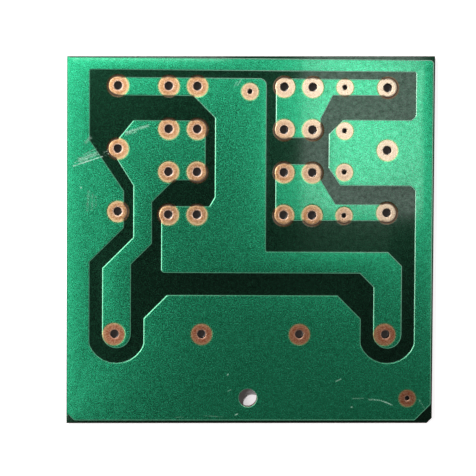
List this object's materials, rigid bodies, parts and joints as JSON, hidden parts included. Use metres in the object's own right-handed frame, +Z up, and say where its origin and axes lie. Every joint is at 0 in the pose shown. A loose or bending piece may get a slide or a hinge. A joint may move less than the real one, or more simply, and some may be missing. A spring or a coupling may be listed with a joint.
{
  "type": "bare power supply circuit board",
  "caption": "Square single-sided circuit board for a rectifier supply, copper side up, with etched foils under green solder mask, bare ring pads, lead holes and a screw hole.",
  "frame": {"origin": "centre of the outline on the underside of the laminate", "axes": "+Z up from the underside to the copper side, +Y towards the diode rows and away from the screw hole, +X towards the output terminals"},
  "size_m": [0.0646, 0.065, 0.0017],
  "materials": {
    "laminate": "dark pressed laminate, sheared edges",
    "copper": "bare copper, scrubbed and slightly dull",
    "solder_mask": "glossy green screen-printed coat, scratched in places"
  },
  "bodies": {
    "root": {"base_laminate": "laminate", "ground_foil": "copper", "first_input_foil": "copper", "second_input_foil": "copper", "positive_foil": "copper", "negative_foil": "copper", "solder_mask": "solder_mask"}
  },
  "joints": []
}
